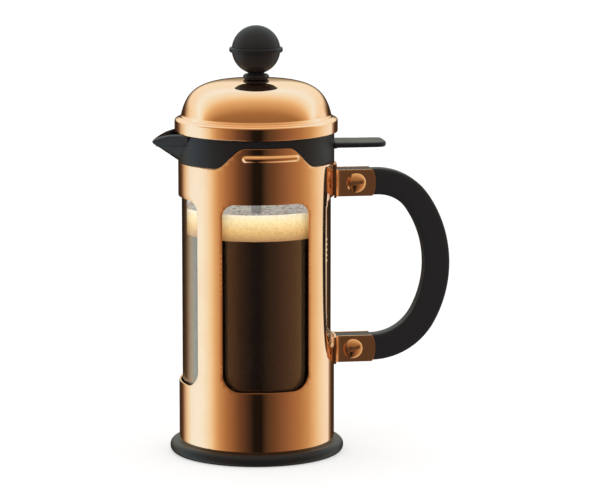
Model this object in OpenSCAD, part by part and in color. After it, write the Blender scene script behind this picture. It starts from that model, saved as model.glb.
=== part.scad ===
// French press: a glass beaker in a sheet frame, with a pouring collar, a turning lid and a plunger.
// Millimetres. The vertical axis of the beaker is Z, the table is z = 0.
// The handle points along +X, the spout along -X and the front window along -Y.

/* [Beaker] */
// outside radius of the glass
glass_r = 35; // [29:0.5:42]
// thickness of the glass wall
glass_wall = 2; // [1.6:0.1:2.4]
// thickness of the glass floor
glass_floor = 2.2; // [1.8:0.1:3]
// height of the glass rim above the table
rim_z = 148; // [124:1:178]
// outside radius of the bottom edge of the glass
glass_fillet = 6; // [5:0.5:7.5]

/* [Frame] */
// thickness of the frame sheet
sheet = 0.8; // [0.6:0.1:1]
// gap between glass and frame
glass_gap = 0.8; // [0.5:0.1:1.2]
// half the width of a window, measured straight across
window_half = 20.25; // [14:0.25:21]
// lowest edge of the front, back and spout side windows
window_low = 34.4; // [26:0.5:60]
// lowest edge of the window on the handle's side, above the middle of the lower limb
window_over_limb = 2.3; // [1.5:0.1:4]
// top edge of all four windows below the glass rim
window_drop = 25.7; // [20:0.5:40]
// lower corner radius of the windows
window_r_low = 7.8; // [4:0.2:10]
// upper corner radius of the windows
window_r_high = 5.7; // [4:0.1:8]
// how far the low part of the top edge lies under the glass rim
edge_drop = 9.7; // [8:0.1:12]
// how far the tongues stand up above the low part of the edge
tongue_rise = 10.1; // [7:0.1:12]
// half the width of a tongue at its foot
tongue_foot = 24; // [18:0.5:25]
// half the width of a tongue at its top
tongue_top = 10; // [9:0.5:15]
// radius of the stiffening bead on each tongue
bead_r = 1.5; // [1.2:0.1:1.8]
// how far the bead's middle lies inside the frame's surface
bead_sink = 0.5; // [0.3:0.1:0.7]
// from the middle of the tongue across to the bead's left end
bead_left = -9.8; // [-11:0.2:-5]
// from the middle of the tongue across to the bead's right end
bead_right = 13.8; // [6:0.2:14.4]
// width of the ring turned in at the foot of the frame
lip_width = 6.5; // [5:0.5:8]

/* [Base] */
// how far the foot stands out past the frame
base_over = 4.4; // [2:0.2:7]
// height of the foot
base_h = 5.4; // [4.5:0.1:7]
// radius of the foot's rounded edge
base_edge = 2.5; // [1:0.1:2.6]
// depth of the ring shaped recess under the foot
base_hollow = 2; // [1.7:0.1:2.4]
// radius of the stud in the middle under the foot
base_core = 14; // [10:0.5:17]
// height of the seat above the frame's ring
seat_h = 3; // [2.8:0.1:5]
// radius of the circle that the foot's screws stand on
base_screw_circle = 22; // [20:0.5:23]
// diameter of the foot's screws
base_screw_d = 3; // [2.5:0.5:3.5]
// diameter of their heads
base_head_d = 5.6; // [5:0.2:6.5]
// height of their heads
base_head_h = 1.7; // [1.4:0.1:1.9]

/* [Handle] */
// width of the grip's section, away from the glass
grip_wide = 12.4; // [10:0.2:12.6]
// thickness of the grip's section, along Y
grip_thick = 9; // [8:0.5:12]
// how far the section's corners are eased
grip_edge = 1.3; // [1:0.1:3]
// middle of the grip below the glass rim
grip_drop = 60.2; // [55:0.5:66]
// half the height between the two limbs
grip_half = 39.6; // [33:0.5:47]
// from the frame out to the grip's middle line
grip_out = 49.2; // [44:0.1:58]
// radius of the upper bend
corner_top = 23.5; // [16:0.5:26]
// radius of the lower bend
corner_low = 28; // [16:0.5:30]
// radius of the belly
belly = 52; // [45:0.5:62]

/* [Handle brackets] */
// thickness of the brackets
bracket_sheet = 1.1; // [0.8:0.1:1.5]
// height of the cheeks
bracket_tall = 12.6; // [11:0.2:15]
// from the frame out to the ends of the cheeks
bracket_out = 19.4; // [17:0.2:23]
// radius of the cheeks' ends
cheek_round = 13; // [7.5:0.5:16]
// half the width of a saddle on the frame
saddle_half = 9; // [8:0.5:12]
// upper saddle, top edge below the low part of the frame's edge
saddle_under_edge = 1.3; // [1:0.1:3]
// lower saddle, top edge above the limb's middle
saddle_over_low = 6.5; // [6.3:0.1:10]
// from the frame out to the upper screw
upper_screw_out = 10; // [8:0.2:13]
// from the frame out to the lower screw
lower_screw_out = 8.6; // [8:0.2:13]
// diameter of the handle screws
handle_screw_d = 4; // [3:0.5:5]
// diameter of their heads and nuts
handle_head_d = 9.2; // [7:0.2:10]
// height of their heads
handle_head_h = 1.7; // [1.5:0.1:2.6]
// width of the slot
slot_wide = 1.6; // [0.8:0.1:1.8]
// depth of the slot
slot_deep = 0.9; // [0.7:0.1:1.2]

/* [Collar] */
// height of the ring over the glass rim
ring_h = 5; // [4:0.2:6]
// thickness of the skirts
skirt_wall = 1.3; // [1:0.1:1.4]
// from the frame out to the spout's tip
spout_out = 12.3; // [9:0.1:16]
// half the width of the spout at its root
spout_root = 15; // [12:0.5:18]
// thickness of the spout's walls
spout_wall = 1.8; // [1.5:0.1:2.1]
// from the frame out to the lever's tip
lever_out = 24.4; // [20:0.2:29]
// half the width of the lever
lever_half = 10; // [8:0.5:12]
// underside of the lever below the glass rim
lever_drop = 3.7; // [3:0.1:5]
// thickness of the lever
lever_t = 3; // [2.5:0.1:3.6]

/* [Lid] */
// how far the lid's band stands out past the frame
lid_over = 1.6; // [1.5:0.1:2.6]
// how far the band hangs below the collar's top
band_hang = 0.8; // [0.4:0.1:1.5]
// height of the band above the collar's top
band_rise = 5.1; // [4.5:0.1:6.5]
// step from the band's outside in to the dome's foot
shelf_step = 2.9; // [2.5:0.1:4]
// top of the dome above the collar's top
dome_rise = 23.4; // [19.6:0.2:28.2]
// fullness of the dome, higher is boxier
dome_full = 3.5; // [2.8:0.1:4.2]
// thickness of the gasket
gasket_t = 0.8; // [0.6:0.1:1]
// thickness of the liner
liner_t = 1.6; // [1.3:0.1:2]
// how far the strainer hangs below the glass rim
strainer_hang = 4.5; // [3:0.1:6]
// number of strainer slits
slit_count = 9; // [5:1:11]
// width of a slit
slit_wide = 1.6; // [1.2:0.1:2]
// angle between slits
slit_pitch = 5.4; // [4.5:0.1:6.5]
// radius of the bush's round collar
bush_r = 6.1; // [5.8:0.1:7.5]
// height of that collar
bush_h = 2.7; // [1.4:0.1:2.7]
// radius of the bush's stem
bush_stem_r = 3.9; // [3.6:0.1:4.6]

/* [Plunger] */
// radius of the rod
rod_r = 2.5; // [2.2:0.1:3]
// radius of the rod's threaded ends
thread_r = 2; // [1.7:0.1:2.1]
// radius of the knob's ball
knob_r = 11.35; // [9.5:0.05:13.6]
// middle of the ball above the dome
knob_rise = 14; // [13.9:0.1:16]
// how far the ring stands out past the ball
knob_ring_over = 1.15; // [0.6:0.05:2]
// height of the ring
knob_ring_h = 2.4; // [1.6:0.1:3]
// radius of the knob's neck
knob_neck_r = 3.9; // [3.7:0.1:4.6]
// radius of the threaded insert in the knob
insert_r = 3.6; // [3.2:0.1:3.6]
// radius of the spigot that the ring and the upper half sit on
spigot_r = 5.5; // [4.5:0.1:6]
// radius of the coil round the filter
spring_r = 1.5; // [1.2:0.1:1.8]
// thickness of the filter cloth
mesh_t = 0.4; // [0.3:0.1:0.6]
// thickness of the filter plate
plate_t = 0.8; // [0.6:0.1:1]
// thickness of the cross under the cloth
cross_t = 1; // [0.8:0.1:1.4]
// gap between the plunger's foot and the glass floor
floor_clear = 1; // [0.6:0.1:2]
// number of holes in each row of the filter plate
plate_holes = 10; // [6:1:12]

/* [Clearances] */
// between parts that slide or turn past each other
run_gap = 0.3; // [0.2:0.05:0.4]
// rod in its bush
rod_gap = 0.1; // [0.05:0.05:0.2]
// thread of the rod in the filter parts and the knob
thread_gap = 0.05; // [0.02:0.01:0.1]

/* [Hidden] */
$fn = 96;
eps = 0.01;

copper = [0.80, 0.47, 0.29];
black = [0.09, 0.09, 0.10];
steel = [0.76, 0.77, 0.79];
clear = [0.82, 0.90, 0.94, 0.4];

// radii that follow from the values above
glass_in = glass_r - glass_wall;
frame_in = glass_r + glass_gap;
frame_out = frame_in + sheet;
base_r = frame_out + base_over;
grip_reach = frame_out + grip_out;
belly_x = grip_reach - belly;
bracket_end = frame_out + bracket_out;
upper_screw_x = frame_out + upper_screw_out;
lower_screw_x = frame_out + lower_screw_out;
spout_reach = frame_out + spout_out;
lever_reach = frame_out + lever_out;
lid_r = frame_out + lid_over;
dome_foot = lid_r - shelf_step;
knob_ring_r = knob_r + knob_ring_over;
spring_ring = glass_in - run_gap - spring_r;
plate_r = spring_ring - spring_r - 0.1;

// levels that follow from the values above
window_high = rim_z - window_drop;
edge_z = rim_z - edge_drop;
tongue_z = edge_z + tongue_rise;
seat_top = base_h + sheet + seat_h;
floor_z = seat_top + glass_floor;
grip_z = rim_z - grip_drop;
limb_top = grip_z + grip_half;
limb_low = grip_z - grip_half;
window_low_handle = limb_low + window_over_limb;
collar_top = rim_z + ring_h;
lever_z = rim_z - lever_drop;
gasket_low = collar_top;
band_low = collar_top - band_hang;
band_high = collar_top + band_rise;
shelf_z = band_high + 0.9;
dome_low = shelf_z + 0.4;
dome_top = collar_top + dome_rise;
strainer_low = rim_z - strainer_hang;
liner_low = collar_top + gasket_t;
liner_top = liner_low + liner_t;
knob_z = dome_top + knob_rise;
cross_foot = floor_z + floor_clear;
cross_low = cross_foot + 1.4;
mesh_low = cross_low + cross_t;
plate_low = mesh_low + mesh_t;
shoulder_z = plate_low + plate_t;
spring_z = plate_low + spring_r + 0.1;

// the dome's height falls from its top as a logarithm, slowly at first and steeply at its foot
dome_spread = 0.955;
function dome_fall(r) = ln(1 - pow(dome_spread * r / dome_foot, dome_full));
function dome_z(r) = dome_top - (dome_top - dome_low) * dome_fall(r) / dome_fall(dome_foot);
dome_line = [
  for (a = [90 : -6 : 12])
    let (r = dome_foot * sin(a))
      [r, dome_z(r)]
];

base();
base_screw_a();
base_screw_b();
base_screw_c();
beaker_seat();
frame();
upper_bracket();
lower_bracket();
handle();
upper_screw();
upper_nut();
lower_screw();
lower_nut();
beaker();
collar();
lid_gasket();
lid_dome();
lid_liner();
rod_bush();
bush_nut();
plunger_rod();
knob_lower();
knob_ring();
knob_upper();
knob_insert();
filter_nut();
spiral_plate();
filter_spring();
mesh_screen();
cross_plate();

// shared shapes

module tube(r_out, r_in, z0, z1) {
  translate([0, 0, z0])
    difference() {
      cylinder(r = r_out, h = z1 - z0);
      translate([0, 0, -1])
        cylinder(r = r_in, h = z1 - z0 + 2);
    }
}

module disc(r, z0, z1) {
  translate([0, 0, z0])
    cylinder(r = r, h = z1 - z0);
}

// a flat outline in x and z, made solid along Y from y0 to y1
module along_y(y0, y1) {
  translate([0, y1, 0])
    rotate([90, 0, 0])
      linear_extrude(y1 - y0)
        children();
}

// a flat outline in y and z, made solid along X from x0 to x1
module along_x(x0, x1) {
  translate([x0, 0, 0])
    rotate([90, 0, 90])
      linear_extrude(x1 - x0)
        children();
}

module window_outline(low) {
  mid_low = low + window_r_low;
  mid_high = window_high - window_r_high;
  translate([-window_half, mid_low])
    square([2 * window_half, mid_high - mid_low]);
  translate([-window_half + window_r_low, low])
    square([2 * (window_half - window_r_low), window_r_low + 1]);
  translate([-window_half + window_r_high, mid_high - 1])
    square([2 * (window_half - window_r_high), window_r_high + 1]);
  for (s = [-1, 1]) {
    translate([s * (window_half - window_r_low), mid_low])
      circle(r = window_r_low);
    translate([s * (window_half - window_r_high), mid_high])
      circle(r = window_r_high);
  }
}

// outline of a tongue, grown by gap on its flanks and top
function ease(t) = (1 - cos(180 * t)) / 2;
function flank(s, gap) = [
  for (i = [0 : 10])
    let (t = i / 10)
      [s * (tongue_foot + gap - (tongue_foot - tongue_top) * t), edge_z + tongue_rise * ease(t) + gap * t]
];
function turned(list) = [for (i = [len(list) - 1 : -1 : 0]) list[i]];
module tongue_outline(gap) {
  polygon(concat(
    [[-tongue_foot - gap, edge_z - 2]],
    flank(-1, gap),
    turned(flank(1, gap)),
    [[tongue_foot + gap, edge_z - 2]]
  ));
}

// what is cut away above the low edge on one side of a tongue
module beside_tongue(s) {
  polygon(concat(
    flank(s, 0),
    [[s * tongue_top, tongue_z + 5], [s * 60, tongue_z + 5], [s * 60, edge_z]]
  ));
}

// round bar along Y from y0 to y1
module bar_y(x, z, d, y0, y1) {
  translate([x, y1, z])
    rotate([90, 0, 0])
      cylinder(d = d, h = y1 - y0);
}

// foot

module base() {
  color(black)
    difference() {
      rotate_extrude()
        union() {
          square([base_r - base_edge, base_h]);
          translate([0, base_edge])
            square([base_r, base_h - 2 * base_edge]);
          translate([base_r - base_edge, base_edge])
            circle(r = base_edge, $fn = 48);
          translate([base_r - base_edge, base_h - base_edge])
            circle(r = base_edge, $fn = 48);
        }
      tube(base_r - 8, base_core, -1, base_hollow);
      for (a = [90, 210, 330])
        rotate([0, 0, a])
          translate([base_screw_circle, 0, -1])
            cylinder(d = base_screw_d + 2 * run_gap, h = base_h + 2);
    }
}

module base_screw(a) {
  color(steel)
    rotate([0, 0, a])
      translate([base_screw_circle, 0, 0])
        difference() {
          union() {
            translate([0, 0, base_hollow - base_head_h])
              cylinder(d = base_head_d, h = base_head_h);
            translate([0, 0, base_hollow - eps])
              cylinder(d = base_screw_d, h = base_h - base_hollow + 2.8);
          }
          for (t = [0, 90])
            rotate([0, 0, t])
              translate([-1.7, -0.4, base_hollow - base_head_h - 1])
                cube([3.4, 0.8, 2]);
        }
}
module base_screw_a() base_screw(90);
module base_screw_b() base_screw(210);
module base_screw_c() base_screw(330);

module beaker_seat() {
  color(black)
    difference() {
      union() {
        disc(frame_out - lip_width - run_gap, base_h, seat_top);
        disc(frame_in - 1, base_h + sheet, seat_top);
      }
      disc(glass_r - glass_fillet - 4, seat_top - 0.6, seat_top + 1);
      for (a = [90, 210, 330])
        rotate([0, 0, a])
          translate([base_screw_circle, 0, base_h - 1])
            cylinder(d = base_screw_d, h = 3.8);
    }
}

// frame

module bead(from) {
  first = asin(bead_left / frame_out);
  last = asin(bead_right / frame_out);
  rotate([0, 0, from + first])
    rotate_extrude(angle = last - first)
      translate([frame_out - bead_sink, (edge_z + tongue_z) / 2 + 0.2])
        intersection() {
          circle(r = bead_r, $fn = 32);
          translate([bead_sink - sheet / 2, -5])
            square([10, 10]);
        }
}

module frame() {
  color(copper)
    union() {
      difference() {
        rotate_extrude()
          union() {
            translate([frame_in, base_h])
              square([sheet, tongue_z - base_h]);
            translate([frame_out - lip_width, base_h])
              square([lip_width, sheet]);
          }
        for (s = [-1, 1])
          along_y(-frame_out - 5, frame_out + 5)
            beside_tongue(s);
        along_y(-frame_out - 5, frame_out + 5)
          window_outline(window_low);
        along_x(-frame_out - 5, 0)
          window_outline(window_low);
        along_x(0, frame_out + 5)
          window_outline(window_low_handle);
      }
      bead(-90);
      bead(90);
    }
}

// handle and its brackets

module bracket(z, saddle_low, saddle_high, screw_x) {
  half = grip_thick / 2;
  color(copper)
    difference() {
      union() {
        // saddle that lies on the frame
        intersection() {
          tube(frame_out + bracket_sheet, frame_out, saddle_low, saddle_high);
          translate([0, -saddle_half, saddle_low])
            cube([2 * frame_out, 2 * saddle_half, saddle_high - saddle_low]);
        }
        // two cheeks beside the limb
        for (s = [-1, 1])
          difference() {
            along_y(s > 0 ? half : -half - bracket_sheet, s > 0 ? half + bracket_sheet : -half)
              intersection() {
                translate([frame_in, z - bracket_tall / 2])
                  square([bracket_end - frame_in, bracket_tall]);
                translate([bracket_end - cheek_round, z])
                  circle(r = cheek_round);
              }
            disc(frame_out + bracket_sheet / 2, z - bracket_tall, z + bracket_tall);
          }
        for (s = [-1, 1])
          difference() {
            translate([frame_in, s > 0 ? half : -half - bracket_sheet, z - bracket_tall / 2])
              cube([bracket_end - cheek_round - frame_in, bracket_sheet, bracket_tall]);
            disc(frame_out + bracket_sheet / 2, z - bracket_tall, z + bracket_tall);
          }
      }
      bar_y(screw_x, z, handle_screw_d + run_gap, -20, 20);
    }
}

module upper_bracket() bracket(limb_top, limb_top - 6.3, edge_z - saddle_under_edge, upper_screw_x);
module lower_bracket() bracket(limb_low, limb_low - 6.3, limb_low + saddle_over_low, lower_screw_x);

// the grip's middle line: a limb, a small arc, the belly's large arc, a small arc, a limb
function corner_x(r) = belly_x + sqrt(pow(belly - r, 2) - pow(grip_half - r, 2));
function corner_angle(r) = atan2(grip_half - r, corner_x(r) - belly_x);
function arc_points(cx, cz, r, a0, a1, n) = [
  for (i = [1 : n])
    let (a = a0 + (a1 - a0) * i / n)
      [cx + r * cos(a), cz + r * sin(a), a]
];
// cross section of the grip: radial width by thickness, corners eased
grip_w = grip_wide / 2;
grip_t = grip_thick / 2;
grip_f = grip_edge / 3.4;
grip_section = [
  [grip_w, grip_t - grip_edge], [grip_w - grip_f, grip_t - grip_f], [grip_w - grip_edge, grip_t],
  [grip_edge - grip_w, grip_t], [grip_f - grip_w, grip_t - grip_f], [-grip_w, grip_t - grip_edge],
  [-grip_w, grip_edge - grip_t], [grip_f - grip_w, grip_f - grip_t], [grip_edge - grip_w, -grip_t],
  [grip_w - grip_edge, -grip_t], [grip_w - grip_f, grip_f - grip_t], [grip_w, grip_edge - grip_t]
];

module handle() {
  limb_start = frame_out + bracket_sheet + 0.4;
  top_a = corner_angle(corner_top);
  low_a = -corner_angle(corner_low);
  line = concat(
    [[limb_start, limb_top, 90], [corner_x(corner_top), limb_top, 90]],
    arc_points(corner_x(corner_top), limb_top - corner_top, corner_top, 90, top_a, 12),
    arc_points(belly_x, grip_z, belly, top_a, low_a, 24),
    arc_points(corner_x(corner_low), limb_low + corner_low, corner_low, low_a, -90, 12),
    [[limb_start, limb_low, -90]]
  );
  m = len(grip_section);
  n = len(line);
  points = [
    for (p = line)
      for (q = grip_section)
        [p[0] + q[0] * cos(p[2]), q[1], p[1] + q[0] * sin(p[2])]
  ];
  sides = [
    for (i = [0 : n - 2])
      for (j = [0 : m - 1])
        for (k = [0, 1])
          k == 0
            ? [i * m + j, (i + 1) * m + j, (i + 1) * m + (j + 1) % m]
            : [i * m + j, (i + 1) * m + (j + 1) % m, i * m + (j + 1) % m]
  ];
  caps = [[for (j = [0 : m - 1]) j], [for (j = [m - 1 : -1 : 0]) (n - 1) * m + j]];
  color(black)
    difference() {
      polyhedron(points = points, faces = concat(sides, caps), convexity = 6);
      bar_y(upper_screw_x, limb_top, handle_screw_d + run_gap, -20, 20);
      bar_y(lower_screw_x, limb_low, handle_screw_d + run_gap, -20, 20);
    }
}

// slotted screw with a low domed head on the front cheek
module handle_screw(x, z, turn) {
  face = grip_thick / 2 + bracket_sheet;
  dome = (pow(handle_head_d / 2, 2) + pow(handle_head_h, 2)) / (2 * handle_head_h);
  color(copper)
    translate([x, 0, z])
      rotate([90, 0, 0])
        difference() {
          union() {
            translate([0, 0, face])
              intersection() {
                cylinder(d = handle_head_d, h = handle_head_h);
                translate([0, 0, handle_head_h - dome])
                  sphere(r = dome);
              }
            translate([0, 0, -face - 1.8])
              cylinder(d = handle_screw_d, h = 2 * face + 1.8 + eps);
          }
          rotate([0, 0, turn])
            translate([-handle_head_d, -slot_wide / 2, face + handle_head_h - slot_deep])
              cube([2 * handle_head_d, slot_wide, 5]);
        }
}

module handle_nut(x, z) {
  face = grip_thick / 2 + bracket_sheet;
  color(copper)
    translate([x, face, z])
      rotate([-90, 0, 0])
        difference() {
          intersection() {
            cylinder(d = handle_head_d, h = 3);
            translate([0, 0, 3 - 8])
              sphere(r = 8);
          }
          translate([0, 0, -1])
            cylinder(d = handle_screw_d, h = 2.8);
        }
}

module upper_screw() handle_screw(upper_screw_x, limb_top, 9);
module upper_nut() handle_nut(upper_screw_x, limb_top);
module lower_screw() handle_screw(lower_screw_x, limb_low, 18);
module lower_nut() handle_nut(lower_screw_x, limb_low);

// beaker

module beaker() {
  inner = glass_fillet - glass_wall;
  color(clear)
    rotate_extrude()
      difference() {
        union() {
          translate([0, seat_top])
            square([glass_r - glass_fillet, glass_floor + 1]);
          translate([0, seat_top + glass_fillet])
            square([glass_r, rim_z - seat_top - glass_fillet - glass_wall / 2]);
          translate([glass_r - glass_fillet, seat_top + glass_fillet])
            circle(r = glass_fillet);
          translate([glass_r - glass_wall / 2, rim_z - glass_wall / 2])
            circle(r = glass_wall / 2, $fn = 48);
        }
        translate([0, floor_z])
          square([glass_in - inner, rim_z]);
        translate([0, floor_z + inner])
          square([glass_in, rim_z - floor_z - inner - glass_wall / 2]);
        translate([0, rim_z - glass_wall / 2 - 1])
          square([glass_in, 20]);
        translate([glass_in - inner, floor_z + inner])
          circle(r = inner, $fn = 64);
        translate([-100, seat_top - 1])
          square([100, 200]);
      }
}

// collar with spout and thumb lever

spout_tip = 2.3;
module spout_plan(inset) {
  tip_r = spout_tip - inset;
  tip_x = spout_tip - spout_reach;
  wide = spout_root - inset;
  translate([tip_x, 0])
    circle(r = tip_r, $fn = 48);
  polygon([
    [8.6 - frame_out, wide + 4], [0.6 - frame_out, wide - 2], [tip_x - tip_r * 0.6, tip_r * 0.8],
    [tip_x - tip_r * 0.6, -tip_r * 0.8], [0.6 - frame_out, 2 - wide], [8.6 - frame_out, -wide - 4]
  ]);
}

// side outline of the spout: distance in from the tip, depth below the collar's top
spout_line = [
  [10.3, 1.1], [6.7, 1.7], [3.7, 2.7], [1.7, 3.6], [0.3, 4.6], [0, 5.3], [0.3, 5.9], [1.5, 6.7], [3.8, 8.1]
];
module spout_side() {
  polygon(concat(
    [[6.6 - frame_out, collar_top - 1.1]],
    [for (p = spout_line) [p[0] - spout_reach, collar_top - p[1]]],
    [[-frame_out, edge_z + 0.4], [6.6 - frame_out, edge_z + 0.4]]
  ));
}

module collar() {
  color(black)
    difference() {
      union() {
        // ring over the glass rim, and the skirts between the tongues
        tube(frame_out, glass_in + 0.1, rim_z, collar_top);
        difference() {
          tube(frame_out, glass_r + run_gap, edge_z + run_gap, rim_z + 0.5);
          along_y(-60, 60)
            tongue_outline(run_gap);
        }
        // spout
        intersection() {
          translate([0, 0, edge_z])
            linear_extrude(collar_top - edge_z)
              spout_plan(0);
          along_y(-30, 30)
            spout_side();
          difference() {
            disc(80, edge_z, collar_top);
            disc(glass_r + run_gap, edge_z - 1, rim_z);
            disc(glass_in + 0.1, edge_z - 1, collar_top + 1);
          }
        }
        // thumb lever with a rib under it
        difference() {
          union() {
            translate([0, -lever_half, lever_z])
              cube([lever_reach - 5, 2 * lever_half, lever_t]);
            translate([0, -lever_half + 5, lever_z])
              cube([lever_reach, 2 * lever_half - 10, lever_t]);
            for (s = [-1, 1])
              translate([lever_reach - 5, s * (lever_half - 5), lever_z])
                cylinder(r = 5, h = lever_t);
            along_y(-1.2, 1.2)
              polygon([
                [frame_out - 2.6, lever_z + 1], [frame_out - 2.6, lever_z - 1.2],
                [frame_out + 1, lever_z - 1.2], [frame_out + 6, lever_z + 1]
              ]);
          }
          disc(glass_r + run_gap, lever_z - 10, lever_z + 10);
          translate([lever_reach - 12, 0, lever_z + lever_t + 23.4])
            rotate([90, 0, 0])
              cylinder(r = 24, h = 13, center = true);
        }
      }
      // tongue room in the ring above
      intersection() {
        tube(frame_out + 5, glass_r + run_gap, rim_z - 1, tongue_z + run_gap);
        along_y(-60, 60)
          tongue_outline(run_gap);
      }
      // channel to the spout
      intersection() {
        translate([0, 0, rim_z])
          linear_extrude(10)
            union() {
              spout_plan(spout_wall);
              translate([-spout_reach - 11, -0.5])
                square([20, 1]);
            }
        along_y(-30, 30)
          polygon([
            [13 - glass_in, rim_z + 0.5], [-glass_r, rim_z + 0.5], [-glass_r - 25, rim_z - 1.3],
            [-glass_r - 25, collar_top + 5], [13 - glass_in, collar_top + 5]
          ]);
      }
    }
}

// lid

module lid_gasket() {
  color(black)
    tube(frame_out - 0.3, glass_in + 0.5, gasket_low, gasket_low + gasket_t);
}

dome_under = [
  for (i = [0 : len(dome_line) - 1])
    let (a = dome_line[max(i - 1, 0)], b = dome_line[min(i + 1, len(dome_line) - 1)])
      let (v = sheet * (b - a) / norm(b - a))
        [dome_line[i][0] - v[1], dome_line[i][1] + v[0]]
];

module lid_dome() {
  color(copper)
    rotate_extrude()
      polygon(concat(
        [[lid_r - sheet, band_low], [lid_r, band_low], [lid_r, band_high - 1.1]],
        [[lid_r - 0.15, band_high - 0.5], [lid_r - 0.5, band_high], [lid_r - 1, band_high + 0.2]],
        [[dome_foot + 0.4, shelf_z]],
        dome_line,
        [[bush_stem_r, dome_top], [bush_stem_r, dome_top - sheet]],
        turned(dome_under),
        [[dome_foot, shelf_z - sheet], [lid_r - 1.2, band_high - 0.6], [lid_r - sheet, band_high - 1.2]]
      ));
}

module lid_liner() {
  color(black)
    difference() {
      union() {
        disc(lid_r - sheet - 0.4, liner_low, liner_top);
        tube(glass_in - run_gap, glass_in - run_gap - liner_t, strainer_low, liner_top);
        tube(lid_r - sheet - 0.4, lid_r - sheet - 2, liner_low, band_high - 1.3);
        disc(bush_stem_r + 1.8, liner_low, dome_top - sheet - 4);
        for (a = [0 : 60 : 300])
          rotate([0, 0, a + 30])
            translate([4, -0.7, liner_low])
              cube([glass_in - 6, 1.4, 4]);
      }
      disc(rod_r + run_gap, liner_low - 1, liner_top + 1);
      disc(bush_stem_r + 0.2, liner_top, dome_top);
      for (i = [0 : slit_count - 1])
        rotate([0, 0, 180 + (i - (slit_count - 1) / 2) * slit_pitch])
          translate([glass_in - 6, -slit_wide / 2, strainer_low + 1.6])
            cube([10, slit_wide, 6.4]);
    }
}

module rod_bush() {
  color(black)
    difference() {
      union() {
        disc(bush_stem_r, dome_top - sheet - 6, dome_top + bush_h);
        rotate_extrude()
          union() {
            translate([0, dome_top])
              square([bush_r - bush_h / 2, bush_h]);
            translate([bush_r - bush_h / 2, dome_top + bush_h / 2])
              circle(r = bush_h / 2, $fn = 48);
          }
      }
      disc(rod_r + rod_gap, dome_top - 20, dome_top + 20);
    }
}

module bush_nut() {
  color(steel)
    difference() {
      disc(7, dome_top - sheet - 4, dome_top - sheet - 0.12);
      disc(bush_stem_r, dome_top - 20, dome_top + 20);
      for (a = [0 : 60 : 300])
        rotate([0, 0, a])
          translate([7.6, 0, dome_top - sheet - 5])
            cylinder(r = 1.5, h = 6, $fn = 32);
    }
}

// plunger

module plunger_rod() {
  color(steel)
    union() {
      disc(rod_r, shoulder_z, knob_z - 6);
      disc(thread_r, cross_foot + 0.2, shoulder_z + eps);
      disc(thread_r, knob_z - 6 - eps, knob_z + 1);
    }
}

module knob_insert() {
  color(steel)
    difference() {
      disc(insert_r, knob_z - 8.4, knob_z + 2.4);
      disc(thread_r + thread_gap, knob_z - 7, knob_z + 1.2);
      disc(rod_r + thread_gap, knob_z - 9, knob_z - 6 + thread_gap);
    }
}

module knob_lower() {
  seam = knob_z - knob_ring_h / 2;
  color(black)
    difference() {
      union() {
        intersection() {
          translate([0, 0, knob_z])
            sphere(r = knob_r);
          disc(knob_r + 1, knob_z - knob_r - 1, seam);
        }
        disc(knob_neck_r, dome_top + bush_h + 0.2, knob_z - 8);
        disc(spigot_r, seam - eps, knob_z + 5.5);
      }
      disc(insert_r, knob_z - 8.4, knob_z + 2.4);
      disc(rod_r + thread_gap, knob_z - 20, knob_z);
    }
}

module knob_ring() {
  h = knob_ring_h / 2;
  color(black)
    difference() {
      rotate_extrude()
        translate([0, knob_z])
          union() {
            translate([0, -h])
              square([knob_ring_r - 0.6, knob_ring_h]);
            translate([0, -h + 0.6])
              square([knob_ring_r, knob_ring_h - 1.2]);
            for (s = [-1, 1])
              translate([knob_ring_r - 0.6, s * (h - 0.6)])
                circle(r = 0.6, $fn = 32);
          }
      disc(spigot_r, knob_z - 3, knob_z + 3);
    }
}

module knob_upper() {
  seam = knob_z + knob_ring_h / 2;
  color(black)
    difference() {
      intersection() {
        translate([0, 0, knob_z])
          sphere(r = knob_r);
        disc(knob_r + 1, seam, knob_z + knob_r + 1);
      }
      disc(spigot_r, seam - 1, knob_z + 5.5);
    }
}

module filter_nut() {
  color(steel)
    difference() {
      disc(5, shoulder_z, shoulder_z + 3.4);
      disc(rod_r + thread_gap, shoulder_z - 1, shoulder_z + 5);
      for (s = [-1, 1])
        translate([s * 8.2 - 4, -8, shoulder_z + 1.2])
          cube([8, 16, 4]);
    }
}

module spiral_plate() {
  color(steel)
    difference() {
      union() {
        disc(plate_r, plate_low, shoulder_z);
        tube(plate_r, plate_r - plate_t, plate_low, shoulder_z + 1.6);
      }
      disc(thread_r + thread_gap, plate_low - 1, shoulder_z + 1);
      for (a = [0 : 360 / plate_holes : 359])
        rotate([0, 0, a]) {
          translate([plate_r - 6.6, 0, plate_low - 1])
            cylinder(r = 3.6, h = 4);
          rotate([0, 0, 180 / plate_holes])
            translate([plate_r - 16.1, 0, plate_low - 1])
              cylinder(r = 2.4, h = 4);
        }
    }
}

module filter_spring() {
  color(steel)
    rotate_extrude()
      translate([spring_ring, spring_z])
        circle(r = spring_r, $fn = 48);
}

module mesh_screen() {
  color(steel)
    difference() {
      disc(glass_in - run_gap, mesh_low, mesh_low + mesh_t);
      disc(thread_r + thread_gap, mesh_low - 1, mesh_low + 2);
    }
}

module cross_plate() {
  color(steel)
    difference() {
      union() {
        tube(glass_in - 4.5, glass_in - 7.5, cross_low, mesh_low);
        disc(10, cross_low, mesh_low);
        for (a = [0, 60, 120])
          rotate([0, 0, a])
            translate([6 - glass_in, -2.5, cross_low])
              cube([2 * glass_in - 12, 5, cross_t]);
        disc(5.5, cross_foot, mesh_low);
      }
      disc(thread_r + thread_gap, cross_low - 3, mesh_low + 1);
    }
}
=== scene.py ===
import math

import bmesh
import bpy
import numpy as np
from mathutils import Matrix, Vector
from mathutils.geometry import delaunay_2d_cdt


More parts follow.
